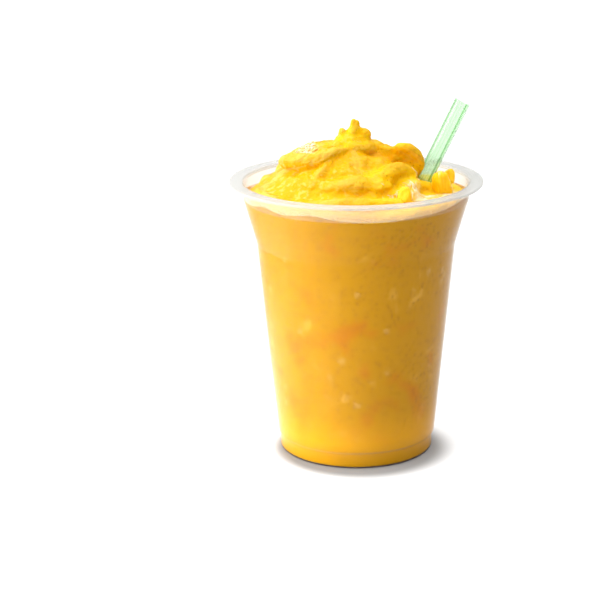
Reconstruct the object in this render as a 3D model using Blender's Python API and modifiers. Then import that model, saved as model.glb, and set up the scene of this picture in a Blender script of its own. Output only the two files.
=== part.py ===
"""Mango smoothie in a clear plastic cup, with its straw and mango chunks.

Units are metres and +Z is up. The cup stands on the origin, and the camera
of the photograph looks along +Y, with +X to its right.
"""
import math

import bmesh
import bpy
from mathutils import Matrix, Vector

NAME = "mango_smoothie"

# Cup: one thermoformed sheet, round, with a flat sealing flange
CUP_HEIGHT = 0.1046
FLANGE_RADIUS = 0.0475
FLANGE_THICK = 0.0009
NECK_RADIUS = 0.0427
NECK_FOOT = 0.0980
NECK_FOOT_RADIUS = 0.0422
KINK_HEIGHT = 0.0810
KINK_RADIUS = 0.03735
STEP_HEIGHT = 0.0058
STEP_RISE = 0.0008
STEP_RADIUS = 0.0302
FOOT_RADIUS = 0.0293
FOOT_ROUND = 0.0006
FOOT_RING = 0.0032
BASE_RECESS = 0.0020
SHEET = 0.0006
TURN_STEPS = 64

# Smoothie: it fills the cup to a wavy line under the flange and heaps above it
GAP = 0.0003
POOL_LEVEL = 0.1013
CONTACT_LEVEL = 0.0986
# Waves of that line: angle in degrees, rise in metres, width in degrees
CONTACT_WAVES = (
    (-143, 0.0014, 9),
    (-113, 0.0012, 10),
    (-80, -0.0009, 14),
    (-22, 0.0017, 18),
    (90, 0.0012, 40),
)
HEAP_RISE = 0.0135
HEAP_CENTRE_X = -0.0010
HEAP_REACH = 0.0340
HEAP_REACH_SKEW = 0.0035
HEAP_NOTCH_ANGLE = -38
HEAP_NOTCH_WIDTH = 26
HEAP_NOTCH_DEPTH = 0.0060
TOP_RINGS = 24
HEAP_STEPS = 80
SOFT_PASSES = 3
MM = 0.001

# Routes of the heap's folds in millimetres: x, y, height and half the fold's thickness
FOLDS = {
    "shoulder": ((-21, 0, 111.5, 5.2), (-15, -3, 113, 5.8), (-8, -3, 114.5, 5.3)),
    "shoulder_lip": (
        (-26.2, 1, 111.6, 2.8), (-24.4, -3.3, 112.2, 3.4), (-20.7, -8, 112.7, 3.6),
        (-16, -10.8, 113.4, 3.5), (-11.8, -11.2, 114.8, 2.9), (-7.5, -9.8, 116.2, 2),
        (-3.5, -7.4, 117, 1.2),
    ),
    "middle_tier": (
        (-26.5, 5, 104.2, 4.2), (-26, -4, 104.4, 4.5), (-21.5, -12.5, 104.4, 4.6),
        (-15, -18.5, 104.2, 4.7), (-8, -22, 104.6, 5), (0, -22.5, 105.4, 5.2), (7, -20.5, 105.4, 4.6),
    ),
    "drape": ((-1, -4, 113.2, 4.4), (-2.4, -9.5, 111.4, 4.2), (-3.4, -15.5, 109, 4.2)),
    "side_drape": ((-5.5, -9, 113.2, 2.6), (-9.5, -14, 110.8, 2.8), (-13.5, -18, 108, 2.4)),
    "right_curl": (
        (5.5, 0.2, 116.6, 2.2), (10.5, -1, 115.9, 1.9), (14, -2.2, 116.1, 1.7), (17, -3.6, 116.9, 1.8),
        (19.8, -4.2, 117, 1.8), (22, -4, 115.3, 1.8), (23.4, -3.6, 112.6, 1.8),
        (23.8, -3.2, 109.6, 1.8),
    ),
    "saddle": (
        (8, 1, 112.2, 4.8), (14.5, 0.4, 112.6, 4.2), (19, -0.2, 112.4, 4), (21.4, -1, 108.6, 3.4),
    ),
    "second_wave": (
        (4.5, -19.2, 107, 2.8), (8, -17.6, 108.4, 3), (11.4, -15.6, 109.6, 3.1),
        (14.4, -13.2, 110.6, 3), (17.2, -10.8, 110.2, 2.8), (19.4, -8.6, 108.2, 2.8),
        (20.6, -6.2, 105.4, 2.8),
    ),
    "wave_bank": (
        (3, -17.5, 104.4, 4), (9, -14.6, 106.4, 4.4), (14, -11, 107.4, 4.4), (18, -7, 106.6, 4.2),
    ),
    "front_mound": (
        (-16, -28.5, 101, 2.8), (-8, -32, 101.4, 3.2), (0, -33.2, 101.8, 3.4), (8, -31.5, 101.6, 3.2),
        (14.5, -28, 101.4, 2.6),
    ),
    "low_layer": (
        (-37, 3, 99.9, 2.2), (-34.5, -12, 100.6, 2.4), (-28.5, -22.5, 100.6, 2.4),
        (-21, -29, 100.4, 2.2),
    ),
    "next_layer": (
        (-31.5, 4, 101.8, 2.6), (-29.5, -9, 102, 2.8), (-24.5, -18, 102, 2.8),
        (-17.5, -24.5, 101.6, 2.6),
    ),
    "back_tier": (
        (-26, 12, 104.6, 4.6), (-18, 22, 104.8, 5), (-4, 26.5, 105, 5.2), (10, 24, 105, 4.8),
        (19, 15, 105.5, 4.2),
    ),
    "back_top": ((-18, 6, 111.6, 5), (-8, 13, 111.8, 5), (5, 13, 112, 4.8), (13, 6, 112.6, 4)),
    "back_low": (
        (-34, 14, 100.5, 2.8), (-24, 27, 100.5, 3.2), (-8, 34, 100.5, 3.2), (10, 32, 100.3, 3),
    ),
}
FOLD_PIECES = 6

# Lumps of the crown in millimetres: place of the centre, then half sizes
CROWN = (
    ((-1, 0.5, 116.5), (9.6, 7.6, 4.4)),
    ((-1.2, 0.4, 119.4), (7.0, 4.8, 3.2)),
    ((-0.4, 0, 121.6), (3.4, 2.8, 3.0)),
    ((0.2, 0, 123.6), (2.0, 1.8, 2.6)),
    ((-0.7, 0, 125.9), (1.3, 1.4, 1.6)),
    ((0.9, 0.1, 125.6), (1.3, 1.4, 1.6)),
    ((-5.2, 0, 122.2), (1.8, 1.6, 2.3)),
    ((3.2, 0.2, 121.4), (2.6, 2.2, 2.8)),
    ((7.2, 0.6, 116.8), (3.2, 3.0, 2.5)),
)

# Broad mounds under the folds, in the same way
MOUNDS = (
    ((-3, -12, 108.8), (10.5, 8, 4.6)),
    ((0, -8.5, 110.8), (8, 6.5, 4.6)),
    ((1, -18, 105.8), (13, 7.5, 4.4)),
    ((-14, -12, 106.6), (9, 8, 4.2)),
    ((7, -8, 109), (8.5, 7.5, 5.2)),
    ((6, -13.5, 107.6), (9, 6.5, 4.2)),
    ((15.5, -16.5, 101.8), (9, 7, 3.8)),
    ((18.6, -12.2, 103.8), (6, 6.4, 4.2)),
)

# Straw: from the left corner of the base, out over the right of the heap
STRAW_RADIUS = 0.0030
STRAW_WALL = 0.0003
STRAW_ENTRY = Vector((0.0251, 0.0, 0.1038))
STRAW_AXIS = Vector((0.4365, 0.0609, 0.8976)).normalized()
STRAW_ABOVE = 0.0329
STRAW_FOOT_HEIGHT = 0.0043
STRAW_SIDES = 20

# Mango chunks: place, half sizes, and turns about X, Y and Z in degrees
CHUNKS = (
    ((0.0316, -0.0076, 0.1048), (0.0037, 0.0036, 0.0044), (14, -12, 28)),
    ((0.0178, -0.0250, 0.1040), (0.0025, 0.0026, 0.0032), (-10, 8, -18)),
    ((0.0350, 0.0024, 0.1052), (0.0020, 0.0020, 0.0025), (10, 16, 35)),
)
CHUNK_CORNER = 0.74


def clear_scene():
    for obj in list(bpy.data.objects):
        bpy.data.objects.remove(obj, do_unlink=True)


def new_collection(name):
    group = bpy.data.collections.new(name)
    bpy.context.scene.collection.children.link(group)
    return group


def material(name, color, roughness, alpha=1.0, transmission=0.0):
    mat = bpy.data.materials.new(name)
    mat.use_nodes = True
    shader = mat.node_tree.nodes["Principled BSDF"]
    shader.inputs["Base Color"].default_value = (*color, 1.0)
    shader.inputs["Roughness"].default_value = roughness
    shader.inputs["Metallic"].default_value = 0.0
    shader.inputs["Alpha"].default_value = alpha
    shader.inputs["Transmission Weight"].default_value = transmission
    return mat


def add_object(name, mesh, group, mat=None):
    obj = bpy.data.objects.new(name, mesh)
    group.objects.link(obj)
    if mat:
        mesh.materials.append(mat)
    mesh.shade_smooth()
    return obj


def add_cutter(name, mesh, group):
    obj = add_object(name, mesh, group)
    obj.hide_render = True
    obj.display_type = "WIRE"
    return obj


def turned_mesh(name, outline, steps):
    """Screw an outline of (radius, height) points once round +Z and return its mesh."""
    bm = bmesh.new()
    points = [bm.verts.new((radius, 0.0, height)) for radius, height in outline]
    for start, end in zip(points, points[1:]):
        bm.edges.new((start, end))
    profile = bpy.data.meshes.new(name + "_profile")
    bm.to_mesh(profile)
    bm.free()
    obj = bpy.data.objects.new(name + "_profile", profile)
    bpy.context.scene.collection.objects.link(obj)
    screw = obj.modifiers.new("turn", "SCREW")
    screw.axis = "Z"
    screw.steps = steps
    screw.render_steps = steps
    screw.use_merge_vertices = True
    screw.merge_threshold = 0.00001
    bpy.context.view_layer.update()
    evaluated = obj.evaluated_get(bpy.context.evaluated_depsgraph_get())
    mesh = bpy.data.meshes.new_from_object(evaluated)
    mesh.name = name
    bpy.data.objects.remove(obj, do_unlink=True)
    return mesh


def wall_stations():
    """Outer side of the cup's wall from the foot up, as (radius, height) points."""
    return [
        (FOOT_RADIUS - FOOT_ROUND, 0.0),
        (FOOT_RADIUS, FOOT_ROUND),
        (FOOT_RADIUS, STEP_HEIGHT),
        (STEP_RADIUS, STEP_HEIGHT + STEP_RISE),
        (KINK_RADIUS, KINK_HEIGHT),
        (NECK_FOOT_RADIUS, NECK_FOOT),
        (NECK_RADIUS, CUP_HEIGHT - FLANGE_THICK),
    ]


def inside_stations(offset):
    """Inner side of the wall, moved in by the sheet and an offset, from the base up."""
    inward = SHEET + offset
    lowest = SHEET + offset
    points = [(radius - inward, max(height, lowest)) for radius, height in wall_stations()]
    points[1] = (points[1][0], lowest + FOOT_ROUND)
    return points


def floor_stations(offset):
    """Inside of the recessed base from the axis out to the ring's channel."""
    channel = FOOT_RADIUS - FOOT_ROUND - FOOT_RING
    floor = BASE_RECESS + SHEET + offset
    return [
        (0.0, floor),
        (channel - 0.5 * SHEET + offset, floor),
        (channel + 0.9 * SHEET + offset, SHEET + offset),
    ]


def inner_radius(height):
    """Radius of the inner side of the wall at a height."""
    points = inside_stations(0.0)
    for (low_radius, low), (high_radius, high) in zip(points, points[1:]):
        if low < high and low <= height <= high:
            share = (height - low) / (high - low)
            return low_radius + share * (high_radius - low_radius)
    return points[-1][0]


def build_cup(group):
    """One thin sheet of clear plastic: base, foot ring, wall with a kink, and flat flange."""
    lip = 0.0004
    flange = [
        (NECK_RADIUS - SHEET + lip, CUP_HEIGHT),
        (FLANGE_RADIUS - lip, CUP_HEIGHT),
        (FLANGE_RADIUS, CUP_HEIGHT - lip),
        (FLANGE_RADIUS, CUP_HEIGHT - FLANGE_THICK),
    ]
    outside = list(reversed(wall_stations()))
    channel = FOOT_RADIUS - FOOT_ROUND - FOOT_RING
    underside = [
        (channel, 0.0),
        (channel - 1.4 * SHEET, BASE_RECESS),
        (0.0, BASE_RECESS),
    ]
    outline = floor_stations(0.0) + inside_stations(0.0) + flange + outside + underside
    mat = material("clear_cup_plastic", (0.93, 0.92, 0.88), 0.12, alpha=0.35, transmission=0.8)
    return add_object("cup", turned_mesh("cup", outline, TURN_STEPS), group, mat)


def contact_height(angle):
    """Height of the line where the smoothie meets the wall, at an angle in degrees."""
    height = CONTACT_LEVEL
    for centre, rise, width in CONTACT_WAVES:
        away = (angle - centre + 180) % 360 - 180
        height += rise * math.exp(-((away / width) ** 2))
    return height


def core_height(x, y):
    """Height of the smoothie above a point, without its folds."""
    distance = math.hypot(x, y)
    contact = contact_height(math.degrees(math.atan2(y, x)))
    edge = inner_radius(contact) - GAP
    to_wall = min(distance / edge, 1.0)
    pool = contact + (POOL_LEVEL - contact) * (1.0 - to_wall ** 12)
    aside = x - HEAP_CENTRE_X
    heading = math.degrees(math.atan2(y, aside))
    off_notch = (heading - HEAP_NOTCH_ANGLE + 180) % 360 - 180
    notch = HEAP_NOTCH_DEPTH * math.exp(-((off_notch / HEAP_NOTCH_WIDTH) ** 2))
    reach = HEAP_REACH - HEAP_REACH_SKEW * math.cos(math.radians(heading)) - notch
    out = min(math.hypot(aside, y) / reach, 1.0)
    return pool + HEAP_RISE * (1.0 - out ** 2) ** 1.2


def heap_lumps():
    """All lumps that the heap is made of, as (centre, half sizes) in metres."""
    lumps = [(Vector(centre) * MM, Vector(sizes) * MM) for centre, sizes in CROWN + MOUNDS]
    for route in FOLDS.values():
        for start, end in zip(route, route[1:]):
            for piece in range(FOLD_PIECES + 1):
                x, y, height, half = Vector(start).lerp(Vector(end), piece / FOLD_PIECES) * MM
                lumps.append((Vector((x, y, height)), Vector((half, half, half))))
    return lumps


def heap_height(x, y, lumps):
    """Height of the smoothie's top above a point, over the highest lump there."""
    height = core_height(x, y)
    for centre, sizes in lumps:
        left = 1.0 - ((x - centre.x) / sizes.x) ** 2 - ((y - centre.y) / sizes.y) ** 2
        if left > 0.0:
            height = max(height, centre.z + sizes.z * math.sqrt(left))
    return height


def smoothie_mesh():
    """Turned body as wide as the cup's inside, its top then raised into the heap."""
    edge = inner_radius(CONTACT_LEVEL) - GAP
    top = [(edge * ring / TOP_RINGS, POOL_LEVEL) for ring in range(TOP_RINGS)]
    side = [point for point in inside_stations(GAP) if point[1] < CONTACT_LEVEL]
    bottom = list(reversed(floor_stations(GAP)))
    outline = top + [(edge, CONTACT_LEVEL)] + list(reversed(side)) + bottom
    mesh = turned_mesh("smoothie", outline, HEAP_STEPS)
    lumps = heap_lumps()
    bm = bmesh.new()
    bm.from_mesh(mesh)
    raised = [vertex for vertex in bm.verts if vertex.co.z > CONTACT_LEVEL + 0.0001]
    for vertex in bm.verts:
        x, y, height = vertex.co
        if abs(height - CONTACT_LEVEL) < 0.0001:
            contact = contact_height(math.degrees(math.atan2(y, x)))
            scale = (inner_radius(contact) - GAP) / math.hypot(x, y)
            vertex.co = Vector((x * scale, y * scale, contact))
    for vertex in raised:
        vertex.co.z = heap_height(vertex.co.x, vertex.co.y, lumps)
    for _ in range(SOFT_PASSES):
        bmesh.ops.smooth_vert(bm, verts=raised, factor=0.5, use_axis_z=True)
    bm.to_mesh(mesh)
    bm.free()
    return mesh


def add_boolean(obj, tool):
    cut = obj.modifiers.new("cut_" + tool.name, "BOOLEAN")
    cut.operation = "DIFFERENCE"
    cut.solver = "EXACT"
    cut.object = tool


def straw_placement():
    """Matrix that lays a tube made along +Z on the straw's axis, and its length."""
    below = (STRAW_ENTRY.z - STRAW_FOOT_HEIGHT) / STRAW_AXIS.z
    foot = STRAW_ENTRY - STRAW_AXIS * below
    turn = Vector((0, 0, 1)).rotation_difference(STRAW_AXIS).to_matrix().to_4x4()
    return Matrix.Translation(foot) @ turn, below + STRAW_ABOVE


def tube_mesh(name, outer, inner, start, end):
    """Straight tube along +Z between two heights."""
    mesh = bpy.data.meshes.new(name)
    bm = bmesh.new()
    loops = []
    for radius, height in ((outer, start), (outer, end), (inner, end), (inner, start)):
        ring = bmesh.ops.create_circle(
            bm, segments=STRAW_SIDES, radius=radius, matrix=Matrix.Translation((0, 0, height))
        )
        loops.append([edge for edge in bm.edges if all(v in ring["verts"] for v in edge.verts)])
    for first, second in zip(loops, loops[1:] + loops[:1]):
        bmesh.ops.bridge_loops(bm, edges=first + second)
    bmesh.ops.recalc_face_normals(bm, faces=bm.faces)
    bm.to_mesh(mesh)
    bm.free()
    return mesh


def build_straw(group):
    """Thin straight tube of pale green translucent plastic, cut square at both ends."""
    placement, length = straw_placement()
    mesh = tube_mesh("straw", STRAW_RADIUS, STRAW_RADIUS - STRAW_WALL, 0.0, length)
    mat = material("green_straw_plastic", (0.62, 0.88, 0.60), 0.18, alpha=0.75)
    straw = add_object("straw", mesh, group, mat)
    straw.matrix_world = placement
    straw.data.set_sharp_from_angle(angle=math.radians(40))
    return straw


def straw_cutter(group):
    """Sleeve that clears the straw inside and out, and stops just under its foot."""
    placement, length = straw_placement()
    outer = STRAW_RADIUS + GAP
    inner = STRAW_RADIUS - STRAW_WALL - GAP
    cutter = add_cutter("straw_cut", tube_mesh("straw_cut", outer, inner, -GAP, length), group)
    cutter.matrix_world = placement
    return cutter


def chunk_mesh(name, half_sizes, extra):
    """Block of fruit with corners worn round, every side out by the extra width."""
    bm = bmesh.new()
    bmesh.ops.create_cube(bm, size=2.0)
    bmesh.ops.subdivide_edges(bm, edges=bm.edges, cuts=3, use_grid_fill=True)
    for vertex in bm.verts:
        flat = max(abs(value) for value in vertex.co)
        ball = vertex.co.normalized() * flat
        vertex.co = vertex.co.lerp(ball * 1.12, 1.0 - CHUNK_CORNER)
        vertex.co.x *= 1.0 - 0.16 * vertex.co.z
        vertex.co.y *= 1.0 - 0.10 * vertex.co.x
        for axis in range(3):
            vertex.co[axis] *= half_sizes[axis] + extra
    mesh = bpy.data.meshes.new(name)
    bm.to_mesh(mesh)
    bm.free()
    return mesh


def chunk_placement(place, turns):
    turn = Matrix.Identity(4)
    for degrees, axis in zip(turns, "XYZ"):
        turn = Matrix.Rotation(math.radians(degrees), 4, axis) @ turn
    return Matrix.Translation(place) @ turn


def build_chunks(group, cutters):
    """Diced mango, each piece half sunk in the smoothie, with the cutter that seats it."""
    mat = material("mango_flesh", (0.93, 0.52, 0.03), 0.35)
    seats = []
    for number, (place, half_sizes, turns) in enumerate(CHUNKS, start=1):
        name = f"mango_chunk_{number}"
        chunk = add_object(name, chunk_mesh(name, half_sizes, 0.0), group, mat)
        chunk.matrix_world = chunk_placement(place, turns)
        seat = add_cutter(name + "_seat", chunk_mesh(name + "_seat", half_sizes, 1.3 * GAP), cutters)
        seat.matrix_world = chunk_placement(place, turns)
        seats.append(seat)
    return seats


def build_smoothie(group, cutters, seats):
    """Thick blended fruit: fills the cup, heaps above it, cut round straw and chunks."""
    mat = material("mango_smoothie", (0.95, 0.60, 0.04), 0.40)
    body = add_object("smoothie", smoothie_mesh(), group, mat)
    for tool in [straw_cutter(cutters)] + seats:
        add_boolean(body, tool)
    return body


clear_scene()
parts = new_collection(NAME)
tools = new_collection(NAME + "_cutters")
build_cup(parts)
build_straw(parts)
chunk_seats = build_chunks(parts, tools)
build_smoothie(parts, tools, chunk_seats)
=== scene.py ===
import math
import random

import bmesh
import bpy
from mathutils import Matrix, Vector, noise
from mathutils.bvhtree import BVHTree


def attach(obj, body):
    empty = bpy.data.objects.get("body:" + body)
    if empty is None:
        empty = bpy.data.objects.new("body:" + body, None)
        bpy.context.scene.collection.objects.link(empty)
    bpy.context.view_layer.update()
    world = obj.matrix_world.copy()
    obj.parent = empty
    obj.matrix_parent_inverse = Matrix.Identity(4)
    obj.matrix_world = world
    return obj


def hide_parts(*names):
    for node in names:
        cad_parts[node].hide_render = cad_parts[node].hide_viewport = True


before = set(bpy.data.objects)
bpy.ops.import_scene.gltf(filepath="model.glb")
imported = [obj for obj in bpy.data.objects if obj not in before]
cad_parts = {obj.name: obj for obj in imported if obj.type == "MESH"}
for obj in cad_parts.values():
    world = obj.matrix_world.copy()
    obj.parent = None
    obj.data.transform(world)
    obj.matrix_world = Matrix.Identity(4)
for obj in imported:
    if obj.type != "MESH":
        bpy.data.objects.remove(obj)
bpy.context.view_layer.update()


# The photograph is taken with a long lens from just above the rim.
# The cup's foot is the origin and the camera looks along +Y, tipped down a little.
# A slight turn and roll set the cup right of the middle and upright.
SENSOR_WIDTH = 36.0
LENS = 110.75
CAMERA_DISTANCE = 0.6762
CAMERA_HEIGHT = 0.2547
CAMERA_TURN = 1.81
CAMERA_TIP = 16.25
CAMERA_ROLL = -0.56


def add_object(name, data):
    """Put an object with this data into the scene, at the origin."""
    made = bpy.data.objects.new(name, data)
    scene.collection.objects.link(made)
    return made


scene = bpy.context.scene
scene.view_settings.view_transform = "Standard"
camera_data = bpy.data.cameras.new("camera")
camera_data.sensor_width = SENSOR_WIDTH
camera_data.lens = LENS
camera = add_object("camera", camera_data)
camera.matrix_world = (
    Matrix.Translation((0, -CAMERA_DISTANCE, CAMERA_HEIGHT))
    @ Matrix.Rotation(math.radians(CAMERA_TURN), 4, "Z")
    @ Matrix.Rotation(math.radians(90 - CAMERA_TIP), 4, "X")
    @ Matrix.Rotation(math.radians(CAMERA_ROLL), 4, "Z")
)
scene.camera = camera


# The stage is a plain white floor under a white studio: bright overhead, so the
# floor is evenly white, and bright low at the left, dim ahead and at the right.
# The floor also glows, most at the left, and so lights the cup like a lamp.
# A broad sun from the left is the key light. The shadow is only a soft patch at the foot,
# painted on the floor where it does not glow.
FLOOR_SIZE = 8.0
FLOOR_WHITE = (0.29, 0.29, 0.29, 1.0)
FLOOR_ROUGHNESS = 0.9
FLOOR_GLOW = 3.6
# The floor glows most round a place at the left, and least from this far off
GLOW_PLACE = (-0.13, -0.05, 0.0)
GLOW_REACH = 0.20
GLOW_LEAST = 0.16
# Close round the foot it does not glow, which paints the cup's tight soft shadow on the floor
PAINTED_SHADOW_PLACE = (0.001, -0.005, 0.0)
PAINTED_SHADOW_SPAN = (0.0285, 0.0400)
# How bright the studio is from the horizon to straight above
OVERHEAD = ((0.0, 0.0), (0.45, 0.06), (0.90, 1.0))
OVERHEAD_LIGHT = 3.1
# How bright the studio's sides are from the left to the right of the object
SIDES = ((0.0, 1.0), (0.15, 0.62), (0.3, 0.22), (0.5, 0.05), (1.0, 0.04))
SIDE_LIGHT = 2.7
KEY_STRENGTH = 2.3
KEY_FROM = (-0.97, -0.22, 0.10)
KEY_SPREAD = 40


def plain_material(name, colour, roughness, **finish):
    """Material of one colour, with further shader inputs by name, underscores for spaces."""
    mat = bpy.data.materials.new(name)
    mat.use_nodes = True
    inputs = mat.node_tree.nodes["Principled BSDF"].inputs
    inputs["Base Color"].default_value = colour
    inputs["Roughness"].default_value = roughness
    for label, value in finish.items():
        inputs[label.replace("_", " ")].default_value = value
    return mat


def link(tree, start, end):
    tree.links.new(start, end)


def feed(tree, label, value):
    """Let a value drive an input of the material's shader."""
    link(tree, value, tree.nodes["Principled BSDF"].inputs[label])


def add_node(tree, kind, **inputs):
    """Add a shader node and set its named inputs, with underscores for spaces."""
    made = tree.nodes.new(kind)
    for name, value in inputs.items():
        made.inputs[name.replace("_", " ")].default_value = value
    return made


def math_node(tree, kind, operation, values):
    """Add a math node on values that are each a socket or a plain value."""
    made = tree.nodes.new(kind)
    made.operation = operation
    for socket, value in zip(made.inputs, values):
        if isinstance(value, bpy.types.NodeSocket):
            link(tree, value, socket)
        else:
            socket.default_value = value
    return made


def calculated(tree, operation, *values):
    return math_node(tree, "ShaderNodeMath", operation, values).outputs["Value"]


def stretched(tree, value, low, high, start=0.0, end=1.0):
    """Map a value between low and high to start and end, smoothly."""
    made = add_node(
        tree, "ShaderNodeMapRange", From_Min=low, From_Max=high, To_Min=start, To_Max=end,
    )
    made.interpolation_type = "SMOOTHSTEP"
    link(tree, value, made.inputs["Value"])
    return made.outputs["Result"]


def object_place(tree):
    return tree.nodes.new("ShaderNodeTexCoord").outputs["Object"]


def distance_from(tree, middle):
    places = (object_place(tree), middle)
    return math_node(tree, "ShaderNodeVectorMath", "DISTANCE", places).outputs["Value"]


def mesh_from(name, bm):
    """Turn a bmesh into a mesh and free it."""
    data = bpy.data.meshes.new(name)
    bm.to_mesh(data)
    bm.free()
    return data


floor_mesh = bmesh.new()
bmesh.ops.create_grid(floor_mesh, x_segments=1, y_segments=1, size=FLOOR_SIZE / 2)
floor = add_object("floor", mesh_from("floor", floor_mesh))
floor_white = plain_material(
    "floor_white", FLOOR_WHITE, FLOOR_ROUGHNESS,
    Emission_Strength=FLOOR_GLOW, Specular_IOR_Level=0.0,
)
floor_tree = floor_white.node_tree
from_glow = distance_from(floor_tree, GLOW_PLACE)
from_foot = distance_from(floor_tree, PAINTED_SHADOW_PLACE)
glow = stretched(floor_tree, from_glow, 0.0, GLOW_REACH, 1.0, GLOW_LEAST)
# Painted shadow: the glow is left out close round the foot
outside_painted_shadow = stretched(floor_tree, from_foot, *PAINTED_SHADOW_SPAN)
feed(floor_tree, "Emission Color", calculated(floor_tree, "MULTIPLY", glow, outside_painted_shadow))
floor.data.materials.append(floor_white)

world = bpy.data.worlds.new("white_studio")
world.use_nodes = True
studio = world.node_tree
background = studio.nodes["Background"]
background.inputs["Color"].default_value = (1.0, 1.0, 1.0, 1.0)
facing = studio.nodes.new("ShaderNodeSeparateXYZ")
link(studio, studio.nodes.new("ShaderNodeTexCoord").outputs["Generated"], facing.inputs["Vector"])


def light_along(axis, lowest, stops, light):
    """Studio light along an axis, from stops of a place and its share of the light."""
    across = add_node(studio, "ShaderNodeMapRange", From_Min=lowest)
    link(studio, facing.outputs[axis], across.inputs["Value"])
    shares = studio.nodes.new("ShaderNodeValToRGB")
    while len(shares.color_ramp.elements) < len(stops):
        shares.color_ramp.elements.new(0.5)
    for stop, (place, share) in zip(shares.color_ramp.elements, stops):
        stop.position = place
        stop.color = (share, share, share, 1.0)
    link(studio, across.outputs["Result"], shares.inputs["Fac"])
    return calculated(studio, "MULTIPLY", shares.outputs["Color"], light)


from_above = light_along("Z", 0.0, OVERHEAD, OVERHEAD_LIGHT)
from_sides = light_along("X", -1.0, SIDES, SIDE_LIGHT)
both = calculated(studio, "ADD", from_above, from_sides)
link(studio, both, background.inputs["Strength"])
scene.world = world

key = bpy.data.lights.new("key", "SUN")
key.energy = KEY_STRENGTH
key.angle = math.radians(KEY_SPREAD)
key_lamp = add_object("key", key)
key_lamp.matrix_world = Vector(KEY_FROM).to_track_quat("Z", "Y").to_matrix().to_4x4()


# The cup is one thermoformed sheet of clear, faintly milky plastic.
# Its wall rises from a foot ring over a small step, flares from a kink
# under the neck, and ends in a flat sealing flange.
CUP_HEIGHT = 0.1046
FLANGE_RADIUS = 0.0475
FLANGE_THICK = 0.0009
FLANGE_LIP = 0.0003
NECK_RADIUS = 0.0427
NECK_FOOT = 0.0980
NECK_FOOT_RADIUS = 0.0422
KINK_HEIGHT = 0.0810
KINK_RADIUS = 0.03735
STEP_HEIGHT = 0.0058
STEP_RISE = 0.0008
STEP_RADIUS = 0.0302
FOOT_RADIUS = 0.0293
FOOT_ROUND = 0.0006
FOOT_RING = 0.0032
BASE_RECESS = 0.0020
BASE_SLOPE = 0.00084
BASE_SLOPE_SHIFT = 0.00054
SHEET = 0.0006
CUP_STEPS = 160
MERGE_DISTANCE = 0.00001
CUP_HOLD = 0.0006
CUP_CORNER = 7
CUP_ROUND = 0.00022
MILKY_BAND = 0.0005

WALL = [
    (FOOT_RADIUS - FOOT_ROUND, 0.0),
    (FOOT_RADIUS, FOOT_ROUND),
    (FOOT_RADIUS, STEP_HEIGHT),
    (STEP_RADIUS, STEP_HEIGHT + STEP_RISE),
    (KINK_RADIUS, KINK_HEIGHT),
    (NECK_FOOT_RADIUS, NECK_FOOT),
    (NECK_RADIUS, CUP_HEIGHT - FLANGE_THICK),
]


def wall_radius(height):
    """Outer radius of the cup's wall at a height."""
    if height <= WALL[1][1]:
        return WALL[1][0]
    for (low_radius, low), (high_radius, high) in zip(WALL[1:], WALL[2:]):
        if height <= high:
            return low_radius + (high_radius - low_radius) * (height - low) / (high - low)
    return WALL[-1][0]


def spun(outline, steps):
    """Turn an outline of (radius, height) points once round +Z."""
    bm = bmesh.new()
    points = [bm.verts.new((radius, 0.0, height)) for radius, height in outline]
    edges = [bm.edges.new(pair) for pair in zip(points, points[1:])]
    bmesh.ops.spin(
        bm, geom=points + edges, cent=(0, 0, 0), axis=(0, 0, 1),
        angle=math.tau, steps=steps, use_merge=True,
    )
    bmesh.ops.remove_doubles(bm, verts=bm.verts, dist=MERGE_DISTANCE)
    bmesh.ops.recalc_face_normals(bm, faces=bm.faces)
    return bm


def with_holding_points(outline, reach):
    """Add a point just beside each corner, so that smooth shading turns only there."""
    held = []
    for (radius, height), (next_radius, next_height) in zip(outline, outline[1:]):
        held.append((radius, height))
        wider, higher = next_radius - radius, next_height - height
        length = math.hypot(wider, higher)
        if length > 3.0 * reach:
            for share in (reach / length, 1.0 - reach / length):
                held.append((radius + wider * share, height + higher * share))
    return held + [outline[-1]]


def round_rings(bm, corner, offset, segments):
    """Bevel the level edges at which faces turn by more than an angle in degrees."""
    rings = [
        edge for edge in bm.edges
        if len(edge.link_faces) == 2 and edge.calc_face_angle() > math.radians(corner)
        and abs(edge.verts[0].co.z - edge.verts[1].co.z) < 1e-6
    ]
    bmesh.ops.bevel(
        bm, geom=rings, offset=offset, offset_type="OFFSET", segments=segments,
        profile=0.5, affect="EDGES", material=-1, clamp_overlap=True,
    )


def add_piece(name, bm, *mats):
    """Add a smooth piece that belongs to the one body, with its materials."""
    data = mesh_from(name, bm)
    for mat in mats:
        data.materials.append(mat)
    data.shade_smooth()
    piece = add_object(name, data)
    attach(piece, "root")
    return piece


def clear_plastic(name, colour, roughness, clearness, refraction):
    """Glassy material that lets lamps reach what it covers, by a clear shader for shadow rays."""
    mat = plain_material(
        name, colour, roughness, Transmission_Weight=clearness, IOR=refraction,
    )
    tree = mat.node_tree
    shader = tree.nodes["Principled BSDF"]
    clear = tree.nodes.new("ShaderNodeBsdfTransparent")
    path = tree.nodes.new("ShaderNodeLightPath")
    mix = tree.nodes.new("ShaderNodeMixShader")
    link(tree, path.outputs["Is Shadow Ray"], mix.inputs["Fac"])
    link(tree, shader.outputs["BSDF"], mix.inputs[1])
    link(tree, clear.outputs["BSDF"], mix.inputs[2])
    link(tree, mix.outputs["Shader"], tree.nodes["Material Output"].inputs["Surface"])
    return mat


wall_plastic = clear_plastic("cup_wall_plastic", (0.99, 0.99, 0.985, 1.0), 0.10, 0.995, 1.20)
neck_plastic = clear_plastic("cup_neck_plastic", (0.87, 0.86, 0.85, 1.0), 0.20, 0.90, 1.20)
flange_plastic = clear_plastic("cup_flange_plastic", (0.70, 0.70, 0.68, 1.0), 0.22, 0.74, 1.24)

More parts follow.
